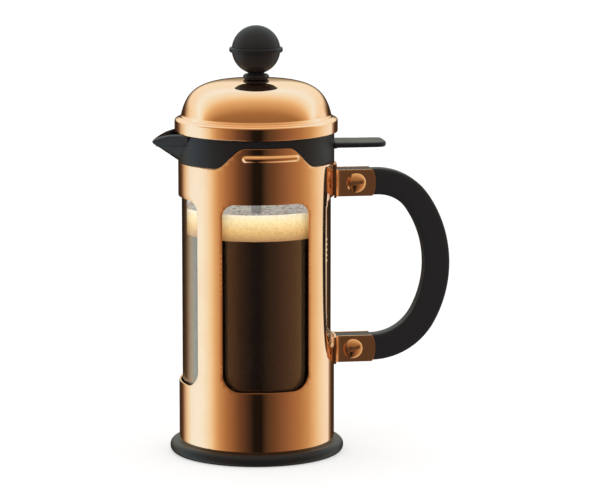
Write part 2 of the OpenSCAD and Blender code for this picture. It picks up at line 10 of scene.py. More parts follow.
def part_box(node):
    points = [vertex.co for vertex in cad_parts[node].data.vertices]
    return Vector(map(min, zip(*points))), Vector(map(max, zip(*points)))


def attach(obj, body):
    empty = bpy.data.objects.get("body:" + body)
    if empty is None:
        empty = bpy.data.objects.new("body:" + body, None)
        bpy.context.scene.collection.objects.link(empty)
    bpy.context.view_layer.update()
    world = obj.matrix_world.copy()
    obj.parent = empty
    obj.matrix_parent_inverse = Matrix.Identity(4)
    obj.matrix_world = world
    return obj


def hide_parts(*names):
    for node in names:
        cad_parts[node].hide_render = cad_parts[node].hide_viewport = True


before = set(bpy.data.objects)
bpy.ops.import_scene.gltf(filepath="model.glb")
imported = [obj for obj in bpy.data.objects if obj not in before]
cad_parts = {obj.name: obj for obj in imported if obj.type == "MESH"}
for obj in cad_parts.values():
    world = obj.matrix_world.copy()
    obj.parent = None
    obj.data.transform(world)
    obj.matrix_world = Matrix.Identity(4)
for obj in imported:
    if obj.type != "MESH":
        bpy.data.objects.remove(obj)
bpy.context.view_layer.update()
mm = 0.001
print("stage: frame loaded")


def addObject(name, data):
    obj = bpy.data.objects.new(name, data)
    bpy.context.scene.collection.objects.link(obj)
    return obj


def makeObject(name, verts, faces):
    # verts in millimetres, in any grid, faces as lists of corner numbers
    mesh = bpy.data.meshes.new(name)
    mesh.from_pydata((np.asarray(verts, float).reshape(-1, 3) * mm).tolist(), [], faces)
    return addObject(name, mesh)


def columns(*parts):
    # points from their coordinates, each a grid, a row or a single number
    return np.stack(np.broadcast_arrays(*parts), axis=-1)


def circle(a):
    return columns(np.cos(a), np.sin(a))


def fullTurn(n):
    return np.linspace(0, 2 * math.pi, n, endpoint=False)


def rounded(x, power):
    # a sine or cosine made squarer, its sign kept
    return np.sign(x) * np.abs(x) ** power


def gridFaces(rows, cols, closeRows=False, closeCols=False, start=0):
    # quads between neighbouring points of a rows x cols grid, wrapped where it closes
    r = np.arange(rows if closeRows else rows - 1)
    c = np.arange(cols if closeCols else cols - 1)
    i, j = np.meshgrid(r, c, indexing="ij")
    a = i * cols + j
    b = ((i + 1) % rows) * cols + j
    d = i * cols + (j + 1) % cols
    e = ((i + 1) % rows) * cols + (j + 1) % cols
    return (columns(a, b, e, d).reshape(-1, 4) + start).tolist()


def weld(obj, distance=0.002, outward=True):
    # merges doubled points, drops flat faces and turns every face outwards
    bm = bmesh.new()
    bm.from_mesh(obj.data)
    bmesh.ops.remove_doubles(bm, verts=bm.verts, dist=distance * mm)
    bmesh.ops.dissolve_degenerate(bm, dist=distance * mm * 0.5, edges=bm.edges)
    if outward:
        bmesh.ops.recalc_face_normals(bm, faces=bm.faces)
    bm.to_mesh(obj.data)
    bm.free()


def settle(obj, angle=35):
    # applies the modifiers and shades smooth between edges flatter than the angle
    graph = bpy.context.evaluated_depsgraph_get()
    graph.update()
    done = bpy.data.meshes.new_from_object(obj.evaluated_get(graph))
    obj.modifiers.clear()
    obj.data = done
    done.shade_smooth()
    done.set_sharp_from_angle(angle=math.radians(angle))
    return obj


def thicken(obj, thickness, offset=-1.0):
    mod = obj.modifiers.new("thickness", "SOLIDIFY")
    mod.thickness = thickness * mm
    mod.offset = offset
    mod.use_even_offset = False


def easeEdges(obj, width, segments=2, angle=40):
    mod = obj.modifiers.new("eased edges", "BEVEL")
    mod.width = width * mm
    mod.segments = segments
    mod.limit_method = "ANGLE"
    mod.angle_limit = math.radians(angle)
    mod.use_clamp_overlap = True


def faceAlong(obj, score):
    # turns a sheet over when its faces score below nothing in all
    bm = bmesh.new()
    bm.from_mesh(obj.data)
    if sum(score(face) for face in bm.faces) < 0:
        bmesh.ops.reverse_faces(bm, faces=bm.faces)
    bm.to_mesh(obj.data)
    bm.free()


def fromAxis(face):
    middle = face.calc_center_median()
    return face.normal.x * middle.x + face.normal.y * middle.y


def pointGrid(xs, zs):
    gx, gz = np.meshgrid(xs, zs)
    return columns(gx.ravel(), gz.ravel())


def filletLine(points, closed=True, steps=6):
    # corners (radius, height, fillet) become arcs that touch both neighbouring sides
    out = []
    n = len(points)
    for i, (x, y, r) in enumerate(points):
        p = np.array([x, y], float)
        if r <= 0 or (not closed and i in (0, n - 1)):
            out.append(p)
            continue
        a = np.array(points[i - 1][:2], float) - p
        b = np.array(points[(i + 1) % n][:2], float) - p
        ua, ub = a / np.linalg.norm(a), b / np.linalg.norm(b)
        half = math.acos(np.clip(ua @ ub, -1, 1)) / 2
        reach = min(r / math.tan(half), np.linalg.norm(a) * 0.49, np.linalg.norm(b) * 0.49)
        radius = reach * math.tan(half)
        centre = p + (ua + ub) / np.linalg.norm(ua + ub) * radius / math.sin(half)
        s, e = p + ua * reach - centre, p + ub * reach - centre
        t0 = math.atan2(s[1], s[0])
        turn = (math.atan2(e[1], e[0]) - t0 + math.pi) % (2 * math.pi) - math.pi
        t = t0 + turn * np.linspace(0, 1, steps)
        out.extend(centre + radius * circle(t))
    return np.array(out)


def turned(name, profile, segments=160, sweep=360.0, start=0.0, closed=True):
    # surface of revolution: (radius, height) carried round Z, x = r sin a, y = -r cos a
    profile = np.asarray(profile, float)
    full = sweep >= 360
    n = segments if full else max(8, int(segments * sweep / 360) + 1)
    a = np.radians(start + sweep * np.arange(n) / (n if full else n - 1))[:, None]
    r, z = profile.T
    pts = columns(r * np.sin(a), -r * np.cos(a), z)
    faces = gridFaces(n, len(profile), closeRows=full, closeCols=closed)
    if not full:
        m = len(profile)
        faces.append(list(range(m)))
        faces.append(list(range((n - 1) * m, n * m))[::-1])
    obj = makeObject(name, pts, faces)
    weld(obj)
    return obj


def placed(obj, body, slotName, material, *nodes):
    # what the piece rides on, the record's finish (not used) and the CAD nodes it stands for
    obj.data.materials.clear()
    obj.data.materials.append(material)
    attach(obj, body)
    if nodes:
        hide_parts(*nodes)
    return obj


def eased(node, width, segments=2, angle=40):
    # a merged copy of a CAD node with its edges broken
    obj = addObject(node + "_eased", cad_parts[node].data.copy())
    weld(obj, 0.004, outward=False)
    easeEdges(obj, width, segments, angle)
    return settle(obj)


def placeEased(body, slotName, material, widths, segments=2):
    for node, width in widths.items():
        placed(eased(node, width, segments), body, slotName, material, node)


def joined(name, pieces):
    # several closed shells as one piece
    bm = bmesh.new()
    for piece in pieces:
        bm.from_mesh(piece.data)
    mesh = bpy.data.meshes.new(name)
    bm.to_mesh(mesh)
    bm.free()
    for piece in pieces:
        bpy.data.objects.remove(piece)
    mesh.shade_smooth()
    mesh.set_sharp_from_angle(angle=math.radians(42))
    return addObject(name, mesh)


def smooth(t):
    t = np.clip(t, 0, 1)
    return t * t * (3 - 2 * t)


def link(source, target):
    source.id_data.links.new(source, target)


def feed(socket, value):
    # joins another node's output to the socket, or sets it to a plain value
    if hasattr(value, "is_linked"):
        link(value, socket)
    else:
        socket.default_value = value


def feedAll(node, values):
    for label, value in values.items():
        feed(node.inputs[label], value)


def addNode(tree, kind, settings=None, **values):
    # a node with its settings, and values or outputs for its sockets
    node = tree.nodes.new(kind)
    for key, value in (settings or {}).items():
        setattr(node, key, value)
    feedAll(node, values)
    return node


def mathNode(tree, operation, a, b):
    node = addNode(tree, "ShaderNodeMath", {"operation": operation})
    feed(node.inputs[0], a)
    feed(node.inputs[1], b)
    return node.outputs[0]


def mixColors(tree, factor, first, second, blend="MIX"):
    node = addNode(tree, "ShaderNodeMix", {"data_type": "RGBA", "blend_type": blend}, Factor=factor)
    feed(node.inputs[6], first)
    feed(node.inputs[7], second)
    return node.outputs[2]


def mapRange(tree, value, values, settings=None):
    return addNode(tree, "ShaderNodeMapRange", settings, Value=value, **values).outputs[0]


def noiseAt(tree, vector, settings=None, **values):
    return addNode(tree, "ShaderNodeTexNoise", settings, Vector=vector, **values).outputs["Fac"]


def separate(tree, vector):
    return addNode(tree, "ShaderNodeSeparateXYZ", Vector=vector).outputs


def newGroup(name, inputs, outputs):
    kinds = {"Vector": "NodeSocketVector", "Color": "NodeSocketColor", "Dust": "NodeSocketColor"}
    group = bpy.data.node_groups.new(name, "ShaderNodeTree")

    def addSocket(label, way):
        kind = kinds.get(label, "NodeSocketFloat")
        return group.interface.new_socket(name=label, in_out=way, socket_type=kind)

    for label, value in inputs.items():
        sock = addSocket(label, "INPUT")
        if value is not None:
            sock.default_value = value
    for label in outputs:
        addSocket(label, "OUTPUT")
    return group, group.nodes.new("NodeGroupInput").outputs, group.nodes.new("NodeGroupOutput").inputs


def buildSmudge():
    # broad soft marks from wiping: lifts the roughness in patches
    group, inp, out = newGroup("wipe marks", {"Vector": None, "Size": 60.0, "Clean": 0.06, "Marked": 0.12},
                               ("Roughness", "Mask"))
    noise = noiseAt(group, inp["Vector"], Detail=5.0, Roughness=0.6, Scale=inp["Size"])
    patches = mapRange(group, noise, {"From Min": 0.4, "From Max": 0.7})
    span = mathNode(group, "SUBTRACT", inp["Marked"], inp["Clean"])
    part = mathNode(group, "MULTIPLY", patches, span)
    link(mathNode(group, "ADD", part, inp["Clean"]), out["Roughness"])
    link(patches, out["Mask"])
    return group


def buildGrain():
    # spark-eroded mould grain: fine height and a little roughness change
    group, inp, out = newGroup("mould grain", {"Vector": None, "Size": 2200.0, "Roughness": 0.45,
                                               "Spread": 0.08}, ("Height", "Roughness"))
    fine = noiseAt(group, inp["Vector"], Detail=3.0, Roughness=0.55, Scale=inp["Size"])
    broad = noiseAt(group, inp["Vector"], Detail=4.0, Roughness=0.6, Scale=70.0)
    change = mathNode(group, "MULTIPLY", mathNode(group, "SUBTRACT", broad, 0.5), inp["Spread"])
    link(fine, out["Height"])
    link(mathNode(group, "ADD", inp["Roughness"], change), out["Roughness"])
    return group


def buildDust():
    # a pale film that settles on faces that look up
    group, inp, out = newGroup("settled dust", {"Vector": None, "Color": (0.05, 0.05, 0.05, 1),
                                                "Dust": (0.35, 0.33, 0.30, 1), "Amount": 0.05}, ("Color",))
    geometry = group.nodes.new("ShaderNodeNewGeometry")
    up = mathNode(group, "MAXIMUM", separate(group, geometry.outputs["Normal"])["Z"], 0.0)
    cover = mathNode(group, "MULTIPLY", up, noiseAt(group, inp["Vector"], Scale=420.0, Detail=4.0))
    cover = mathNode(group, "MULTIPLY", cover, inp["Amount"])
    link(mixColors(group, cover, inp["Color"], inp["Dust"]), out["Color"])
    return group


def buildTurning():
    # fine rings left by turning or spinning, worked out from the distance to the axis and the height
    group, inp, out = newGroup("spun rings", {"Vector": None, "Rings": 3000.0}, ("Height",))
    place = separate(group, inp["Vector"])
    xx = mathNode(group, "MULTIPLY", place["X"], place["X"])
    yy = mathNode(group, "MULTIPLY", place["Y"], place["Y"])
    radius = mathNode(group, "SQRT", mathNode(group, "ADD", xx, yy), 0.0)
    along = mathNode(group, "ADD", radius, place["Z"])
    noise = addNode(group, "ShaderNodeTexNoise", {"noise_dimensions": "1D"}, Detail=3.0, W=along,
                    Scale=inp["Rings"])
    link(noise.outputs["Fac"], out["Height"])
    return group


smudgeGroup = buildSmudge()
grainGroup = buildGrain()
dustGroup = buildDust()
turningGroup = buildTurning()


def startMaterial(name):
    mat = bpy.data.materials.new(name)
    mat.use_nodes = True
    tree = mat.node_tree
    coords = tree.nodes.new("ShaderNodeTexCoord")
    return mat, tree, tree.nodes["Principled BSDF"], coords.outputs["Object"]


def placeGroup(tree, group, vector, **values):
    return addNode(tree, "ShaderNodeGroup", {"node_tree": group}, Vector=vector, **values).outputs


def addBump(tree, shader, height, strength, distance):
    bump = addNode(tree, "ShaderNodeBump", Strength=strength, Distance=distance * mm, Height=height)
    link(bump.outputs["Normal"], shader.inputs["Normal"])


def lightSwitch(tree, factor, shader, clear=(1, 1, 1, 1)):
    # where the factor is one, light passes straight through the surface
    through = addNode(tree, "ShaderNodeBsdfTransparent", Color=clear)
    mix = tree.nodes.new("ShaderNodeMixShader")
    for socket, value in zip(mix.inputs, (factor, shader.outputs[0], through.outputs[0])):
        link(value, socket)
    link(mix.outputs[0], tree.nodes["Material Output"].inputs["Surface"])


copperFinish = {"color": (0.94, 0.62, 0.40, 1), "shade": (0.92, 0.58, 0.36, 1), "markSize": 45.0}


def copperMaterial(name, clean, marked):
    mat, tree, shader, vec = startMaterial(name)
    marks = placeGroup(tree, smudgeGroup, vec, Size=copperFinish["markSize"], Clean=clean, Marked=marked)
    tint = mixColors(tree, marks["Mask"], copperFinish["color"], copperFinish["shade"])
    feedAll(shader, {"Base Color": tint, "Roughness": marks["Roughness"], "Metallic": 1.0})
    return mat


plasticFinish = {"grainSize": 2600.0, "grainSpread": 0.10, "shine": 0.24, "bump": 0.5}


def plasticMaterial(name, color, roughness, grain=0.035, dust=0.03):
    f = plasticFinish
    mat, tree, shader, vec = startMaterial(name)
    texture = placeGroup(tree, grainGroup, vec, Size=f["grainSize"], Roughness=roughness,
                         Spread=f["grainSpread"])
    film = placeGroup(tree, dustGroup, vec, Amount=dust, Color=(*color, 1))
    feedAll(shader, {"Base Color": film["Color"], "Roughness": texture["Roughness"],
                     "Specular IOR Level": f["shine"]})
    addBump(tree, shader, texture["Height"], f["bump"], grain)
    return mat


steelFinish = {"color": (0.62, 0.63, 0.65, 1), "markSize": 90.0, "bump": 0.4}


def steelMaterial(name, rings=2600.0, clean=0.16, marked=0.28, depth=0.01):
    f = steelFinish
    mat, tree, shader, vec = startMaterial(name)
    marks = placeGroup(tree, smudgeGroup, vec, Size=f["markSize"], Clean=clean, Marked=marked)
    lines = placeGroup(tree, turningGroup, vec, Rings=rings)
    feedAll(shader, {"Base Color": f["color"], "Metallic": 1.0, "Roughness": marks["Roughness"]})
    addBump(tree, shader, lines["Height"], f["bump"], depth)
    return mat


glassFinish = {"color": (0.97, 0.985, 0.98, 1), "bend": 1.47, "clear": (0.95, 0.97, 0.96, 1)}


def glassMaterial(name):
    f = glassFinish
    mat, tree, shader, vec = startMaterial(name)
    marks = placeGroup(tree, smudgeGroup, vec, Size=30.0, Clean=0.0, Marked=0.03)
    feedAll(shader, {"Base Color": f["color"], "Metallic": 0.0, "Transmission Weight": 1.0, "IOR": f["bend"],
                     "Roughness": marks["Roughness"]})
    # soft light passes the thin wall without being bent
    path = tree.nodes.new("ShaderNodeLightPath").outputs
    lightSwitch(tree, mathNode(tree, "MAXIMUM", path["Is Shadow Ray"], path["Is Diffuse Ray"]), shader,
                f["clear"])
    return mat


clothFinish = {"gap": (0.10, 0.10, 0.11, 1), "wire": (0.66, 0.66, 0.68, 1), "weave": 420.0}


def meshMaterial(name):
    # woven wire cloth: two crossed sets of round wires
    f = clothFinish
    mat, tree, shader, vec = startMaterial(name)
    marks = placeGroup(tree, smudgeGroup, vec, Size=90.0, Clean=0.25, Marked=0.38)
    waves = [addNode(tree, "ShaderNodeTexWave", {"bands_direction": axis}, Scale=f["weave"],
                     Vector=vec).outputs["Fac"] for axis in ("X", "Y")]
    height = mathNode(tree, "MAXIMUM", *waves)
    feedAll(shader, {"Base Color": mixColors(tree, height, f["gap"], f["wire"]),
                     "Roughness": marks["Roughness"], "Metallic": 0.9})
    addBump(tree, shader, height, 0.8, 0.08)
    return mat


copper = copperMaterial("polished copper", 0.05, 0.085)
copperSmall = copperMaterial("copper small parts", 0.10, 0.17)
blackPlastic = plasticMaterial("black moulded plastic", (0.010, 0.010, 0.011), 0.40)
knobPlastic = plasticMaterial("black knob plastic", (0.014, 0.014, 0.015), 0.48, grain=0.06)
handlePlastic = plasticMaterial("black handle plastic", (0.014, 0.014, 0.015), 0.46, grain=0.05)
sealRubber = plasticMaterial("black silicone seal", (0.03, 0.03, 0.032), 0.6, dust=0.1)
steel = steelMaterial("stainless steel")
rodSteel = steelMaterial("polished steel rod", rings=900.0, clean=0.08, marked=0.16, depth=0.004)
glass = glassMaterial("borosilicate glass")
wireCloth = meshMaterial("woven filter cloth")
print("stage: materials built")


sheetForm = {
    "outer": 36.6, "thick": 0.8, "foot": 5.4, "lip": 6.5,
    "windowHalf": 20.25, "windowLow": 34.4, "windowLowHandle": 50.5, "windowHigh": 122.3,
    "cornerLow": 7.8, "cornerHigh": 5.7,
    "edge": 138.3, "tongue": 148.4, "tongueFoot": 24.0, "tongueTop": 10.0,
    "beadHeight": 143.55, "beadProud": 1.0, "beadHalf": 1.25, "beadFrom": -15.53, "beadTo": 22.15,
}


def across(x, r):
    # angle round the axis, in degrees, of a point that lies x beside the middle of a side
    return np.degrees(np.arcsin(np.clip(np.asarray(x, float) / r, -1, 1)))


def windowLoop(f, low, n=10):
    # the window's outline in (sideways, height): four corner arcs joined by straight stretches
    w, rl, rh, high = f["windowHalf"], f["cornerLow"], f["cornerHigh"], f["windowHigh"]
    q = np.linspace(0, math.pi / 2, n)
    s, c = np.sin(q), np.cos(q)
    return np.concatenate([
        columns(w - rl + rl * s, low + rl - rl * c), columns(w - rh + rh * c, high - rh + rh * s),
        columns(-w + rh - rh * s, high - rh + rh * c), columns(-w + rl - rl * c, low + rl - rl * s)])


def densify(loop, step):
    # splits long sides of a closed outline so that no side is longer than the step
    out = []
    for a, b in zip(loop, np.roll(loop, -1, axis=0)):
        n = max(1, int(math.ceil(np.linalg.norm(b - a) / step)))
        out.append(a + (b - a) * (np.arange(n) / n)[:, None])
    return np.concatenate(out)


def topEdge(f, degrees, gap=0.0):
    # height of the sheet's top edge at an angle: low, rising by half a cosine to each tongue
    side = np.abs((np.asarray(degrees) + 90) % 180 - 90)
    wide, narrow, low, high = f["tongueFoot"] + gap, f["tongueTop"] + gap, f["edge"], f["tongue"]
    x = f["outer"] * np.sin(np.radians(np.minimum(side, 89)))
    t = np.clip((wide - x) / (wide - narrow), 0, 1)
    z = low + (high - low) * (1 - np.cos(np.pi * t)) / 2 + gap * t
    z = np.where(side < across(narrow, f["outer"]), high + gap, z)
    return np.where(side < across(wide, f["outer"]), z, low)


def edgeAngles(f, seam, step, gap=0.0):
    # directions once round from the seam, with more of them on the tongues' flanks
    flank = across(np.linspace(f["tongueTop"] + gap, f["tongueFoot"] + gap, 17), f["outer"])
    first = 180 * math.ceil(seam / 180)
    angles = [m + s * flank for m in (first, first + 180) for s in (-1, 1)]
    return np.unique(np.round(np.concatenate([np.arange(seam, seam + 360.01, step), *angles]), 4))


def insideLoop(points, loop):
    # even-odd count of the outline's sides to the right of each point
    x, y = points[:, 0][:, None], points[:, 1][:, None]
    ax, ay = loop[:, 0][None, :], loop[:, 1][None, :]
    bx, by = np.roll(loop[:, 0], -1)[None, :], np.roll(loop[:, 1], -1)[None, :]
    crosses = ((ay > y) != (by > y)) & (x < (bx - ax) * (y - ay) / np.where(by == ay, 1e-9, by - ay) + ax)
    return crosses.sum(axis=1) % 2 == 1


def farFrom(points, loop, gap):
    # keeps the points at least a gap away from an outline's points
    d = np.linalg.norm(points[:, None, :] - loop[None, :, :], axis=2).min(axis=1)
    return d > gap


def fillSheet(outer, holes, inner):
    # triangles between an outline, its holes and loose inner points, in the flat
    loops = [outer] + holes
    verts, edges = [], []
    for loop in loops:
        start = len(verts)
        verts.extend(Vector(p) for p in loop)
        edges.extend((start + i, start + (i + 1) % len(loop)) for i in range(len(loop)))
    verts.extend(Vector(p) for p in inner)
    res = delaunay_2d_cdt(verts, edges, [], 0, 1e-5)
    flat = np.array([(p.x, p.y) for p in res[0]])
    tris = np.array([f for f in res[2] if len(f) == 3])
    mid = flat[tris].mean(axis=1)
    keep = insideLoop(mid, outer)
    for hole in holes:
        keep &= ~insideLoop(mid, hole)
    return flat, tris[keep].tolist()


def beadRise(f, degrees, z):
    # a rounded ridge: height falls as a circle's arc across it and round its left end
    side = (np.asarray(degrees) + 90) % 180 - 90
    reach = np.radians(np.maximum(f["beadFrom"] - side, np.maximum(side - f["beadTo"], 0))) * f["outer"]
    d = np.sqrt(reach ** 2 + (z - f["beadHeight"]) ** 2) / (f["beadHalf"] + 0.35)
    return f["beadProud"] * np.clip(1 - d ** 2, 0, 1) ** 1.2


def wrapSheet(name, r, thick, ease, outline, holes, inner, rise=None):
    # a pattern laid out flat, in millimetres round the tube, is filled, bent round and thickened
    flat, tris = fillSheet(outline, holes, inner)
    a = flat[:, 0] / r
    rad = r + (rise(np.degrees(a), flat[:, 1]) if rise else 0)
    obj = makeObject(name, columns(rad * np.sin(a), -rad * np.cos(a), flat[:, 1]), tris)
    weld(obj, outward=False)
    faceAlong(obj, fromAxis)
    thicken(obj, thick)
    easeEdges(obj, ease, 2, 50)
    return settle(obj, 40)


def seamEdges(k, seam, heights):
    # the two upright sides of a flat pattern, right side going up and left side coming down
    return columns((seam + 360) / k, heights), columns(seam / k, heights[::-1])


def buildSheet(f):
    r = f["outer"]
    k = math.degrees(1 / r)
    seam = -45.0  # in the middle of a bar
    angles = edgeAngles(f, seam, 1.0)
    top = columns(angles / k, topEdge(f, angles))
    low = columns(np.arange(seam, seam + 360.01, 2.0) / k, f["foot"])
    right, left = seamEdges(k, seam, np.arange(f["foot"] + 3, f["edge"] - 1, 3.0))
    outer = np.concatenate([low, right, top[::-1], left])
    holes = []
    for c in (0, 90, 180, 270):
        loop = densify(windowLoop(f, f["windowLowHandle"] if c == 90 else f["windowLow"]), 2.5)
        holes.append(columns((c + across(loop[:, 0], r)) / k, loop[:, 1]))
    inner = pointGrid(np.arange(seam + 1, seam + 359, 2.0) / k, np.arange(f["foot"] + 2, f["tongue"], 2.6))
    beadRows = np.arange(f["beadHeight"] - 2.4, f["beadHeight"] + 2.4, 0.3)
    for c in (0, 180):
        # finer points round each bead
        block = pointGrid(np.arange(c - 22, c + 30, 0.8) / k, beadRows)
        near = (np.abs(inner[:, 0] - (c + 4) / k) < 27 / k) & (np.abs(inner[:, 1] - f["beadHeight"]) < 3)
        inner = np.concatenate([inner[~near], block])
    ok = insideLoop(inner, outer) & farFrom(inner, outer, 0.35)
    for hole in holes:
        ok &= ~insideLoop(inner, hole) & farFrom(inner, hole, 0.8)
    return wrapSheet("frame_sheet", r, f["thick"], 0.16, outer, holes, inner[ok],
                     lambda degrees, z: beadRise(f, degrees, z))


def buildLip(f):
    # the lip turned in at the foot of the sheet, hidden between seat and foot
    r0, r1 = f["outer"] - f["lip"], f["outer"] - f["thick"] + 0.1
    z0, z1 = f["foot"], f["foot"] + f["thick"]
    return settle(turned("frame_foot_lip", filletLine([(r0, z0, 0.1), (r1, z0, 0.1), (r1, z1, 0.1),
                                                       (r0, z1, 0.1)])))


placed(buildSheet(sheetForm), "stand", "polished_copper", copper, "frame")
placed(buildLip(sheetForm), "stand", "polished_copper", copper)
print("stage: frame sheet built")


footForm = {"outer": 40.99, "high": 5.4, "edge": 2.5, "hollow": 2.0, "ringIn": 33.0, "core": 14.0}


def buildFoot(f):
    line = [
        (0, 0, 0), (f["core"], 0, 0.4), (f["core"], f["hollow"], 0.3), (f["ringIn"], f["hollow"], 0.3),
        (f["ringIn"], 0, 0.4), (f["outer"], 0, f["edge"]), (f["outer"], f["high"], f["edge"]),
        (0, f["high"], 0)]
    obj = turned("foot", filletLine(line, closed=False, steps=9), 192, closed=False)
    return settle(obj, 30)


placed(buildFoot(footForm), "stand", "black_plastic", blackPlastic, "base")
placeEased("stand", "steel", steel, {"base_screw_" + one: 0.12 for one in "abc"})
placeEased("stand", "black_plastic", blackPlastic, {"beaker_seat": 0.25})


gripForm = {
    "wide": 12.4, "thick": 9.0, "square": 7.0, "middle": 87.8, "half": 39.6, "reach": 85.8,
    "cornerTop": 23.5, "cornerLow": 28.0, "belly": 52.0, "start": 38.1,
}


def gripLine(f):
    # limb, small arc, large belly arc, small arc, limb: (x, z, direction outwards in degrees)
    bx = f["reach"] - f["belly"]
    top, low = f["middle"] + f["half"], f["middle"] - f["half"]

    def corner(r):
        x = bx + math.sqrt((f["belly"] - r) ** 2 - (f["half"] - r) ** 2)
        return x, math.degrees(math.atan2(f["half"] - r, x - bx))

    xt, at = corner(f["cornerTop"])
    xl, al = corner(f["cornerLow"])

    def arc(cx, cz, r, a0, a1, n):
        a = np.linspace(a0, a1, n)[1:]
        return columns(cx + r * np.cos(np.radians(a)), cz + r * np.sin(np.radians(a)), a)

    limbTop = columns(np.linspace(f["start"], xt, 8), top, 90.0)
    limbLow = columns(np.linspace(xl, f["start"], 8)[1:], low, -90.0)
    return np.concatenate([
        limbTop, arc(xt, top - f["cornerTop"], f["cornerTop"], 90, at, 22),
        arc(bx, f["middle"], f["belly"], at, -al, 44),
        arc(xl, low + f["cornerLow"], f["cornerLow"], -al, -90, 22), limbLow])


def buildGrip(f):
    # superellipse section carried along the grip's line
    line = gripLine(f)
    t = fullTurn(56)
    u = rounded(np.cos(t), 2 / f["square"]) * f["wide"] / 2
    v = rounded(np.sin(t), 2 / f["square"]) * f["thick"] / 2
    x, z, a = line.T[:, :, None]
    a = np.radians(a)
    pts = columns(x + u * np.cos(a), v, z + u * np.sin(a))
    n, m = len(line), len(t)
    faces = gridFaces(n, m, closeCols=True)
    faces += [list(range(m)), list(range((n - 1) * m, n * m))[::-1]]
    obj = makeObject("grip", pts, faces)
    weld(obj)
    return settle(obj, 50)


placed(buildGrip(gripForm), "stand", "black_plastic", handlePlastic, "handle")
print("stage: foot and grip built")


strapForm = {
    "sheet": 1.1, "frame": 36.6, "tall": 12.6, "end": 56.0, "endRound": 13.0, "flange": 10.0, "bend": 2.2,
    "overTop": 9.6, "overLow": 6.5, "under": 6.3, "saddle": 9.4,
}


def strapSide(f, side, mid, low, high):
    # one cheek: along the frame, round a bend and out beside the limb, each row from low to high
    rm = f["frame"] + f["sheet"] / 2
    yc = gripForm["thick"] / 2 + f["sheet"] / 2
    rb = f["bend"]
    turnAt = -math.asin((yc + rb) / (rm + rb))
    flange = rm * circle(np.linspace(-math.asin(f["flange"] / rm), turnAt, 8))
    centre = (rm + rb) * circle(turnAt)
    bend = centre + rb * circle(np.linspace(math.pi + turnAt, math.pi / 2, 12)[1:])
    xs = centre[0] + (f["end"] - centre[0]) * (1 - (1 - np.linspace(0, 1, 36)[1:]) ** 1.6)
    cheek = columns(xs, -yc)
    path = np.concatenate([flange, bend, cheek])
    half = f["tall"] / 2
    past = np.maximum(path[:, 0] - f["end"] + f["endRound"], 0)
    ends = np.sqrt(np.maximum(f["endRound"] ** 2 - past ** 2, 0.02))
    t = smooth((np.arange(len(path)) - 7.0) / 7.0)
    top = np.minimum(high + (mid + half - high) * t, mid + ends)
    bottom = np.maximum(low + (mid - half - low) * t, mid - ends)
    z = bottom[:, None] + (top - bottom)[:, None] * np.linspace(0, 1, 13)
    return columns(path[:, :1], -side * path[:, 1:], z)


def buildStrap(name, f, mid, low, high):
    verts, faces = [], []
    for side in (-1, 1):
        pts = strapSide(f, side, mid, low, high)
        faces += gridFaces(*pts.shape[:2], start=len(verts))
        verts.extend(pts.reshape(-1, 3).tolist())
    # the saddle behind the limb joins the two cheeks
    rm = f["frame"] + f["sheet"] / 2
    a = np.radians(np.linspace(-f["saddle"], f["saddle"], 20))[:, None]
    pts = columns(rm * np.cos(a), rm * np.sin(a), np.linspace(low, high, 13))
    faces += gridFaces(20, 13, start=len(verts))
    verts.extend(pts.reshape(-1, 3).tolist())
    obj = makeObject(name, verts, faces)
    weld(obj, outward=False)
    thicken(obj, f["sheet"] - 0.02, 0)
    easeEdges(obj, 0.18, 2, 50)
    return settle(obj, 40)


limbTop = gripForm["middle"] + gripForm["half"]
limbLow = gripForm["middle"] - gripForm["half"]
for name, level, over in (("upper", limbTop, "overTop"), ("lower", limbLow, "overLow")):
    strap = buildStrap(name + "_strap", strapForm, level, level - strapForm["under"], level + strapForm[over])
    placed(strap, "stand", "polished_copper", copperSmall, name + "_bracket")
placeEased("stand", "polished_copper", copperSmall, {"upper_nut": 0.22, "lower_nut": 0.22}, 3)


screwForm = {
    "head": 9.2, "high": 1.7, "slot": 1.6, "deep": 0.9, "shank": 4.0, "face": 5.6, "past": 1.8,
    "upper": (46.6, 127.4, 9.0), "lower": (45.2, 48.2, 18.0),
}


def buildScrew(name, f, place):
    # a low domed head, z = sqrt(q^2 - x^2 - y^2) - q + high, sunk to a flat floor in its straight slot
    r, h, half = f["head"] / 2, f["high"], f["slot"] / 2
    q = (r * r + h * h) / (2 * h)
    flank = r * np.cos(np.linspace(0, math.acos(half / r), 16))
    floor = np.linspace(-half, half, 7)
    y = np.concatenate([-flank, floor, flank[::-1]])
    sunk = np.repeat([False, True, False], [len(flank), len(floor), len(flank)])
    wide = np.sqrt(np.maximum(r * r - y * y, 0))[:, None]
    x = np.sin(np.linspace(-math.pi / 2, math.pi / 2, 33))[None, :] * wide
    y = y[:, None] + 0 * x
    z = np.sqrt(q * q - x * x - y * y) - q + h
    z = np.where(sunk[:, None], np.minimum(z, h - f["deep"]), z)
    faces = gridFaces(*x.shape)
    under = [[c + x.size for c in face[::-1]] for face in faces]
    head = np.concatenate([columns(x, y, z), columns(x, y, 0)]).reshape(-1, 3)
    # the shank runs back through grip, cheeks and nut
    n = 40
    rim = f["shank"] / 2 * circle(fullTurn(n)).T
    shank = np.concatenate([columns(*rim, end) for end in (-2 * f["face"] - f["past"], 0.1)])
    caps = [list(range(n))[::-1], list(range(n, 2 * n))]
    sx, sz, turn = place
    c, d = circle(math.radians(turn))
    made = []
    for pts, polys in ((head, faces + under), (shank, gridFaces(2, n, closeCols=True) + caps)):
        u, v = pts[:, 0] * c - pts[:, 1] * d, pts[:, 0] * d + pts[:, 1] * c
        piece = makeObject(name, columns(sx + u, -f["face"] - pts[:, 2], sz + v), polys)
        weld(piece)
        made.append(piece)
    return joined(name, made)


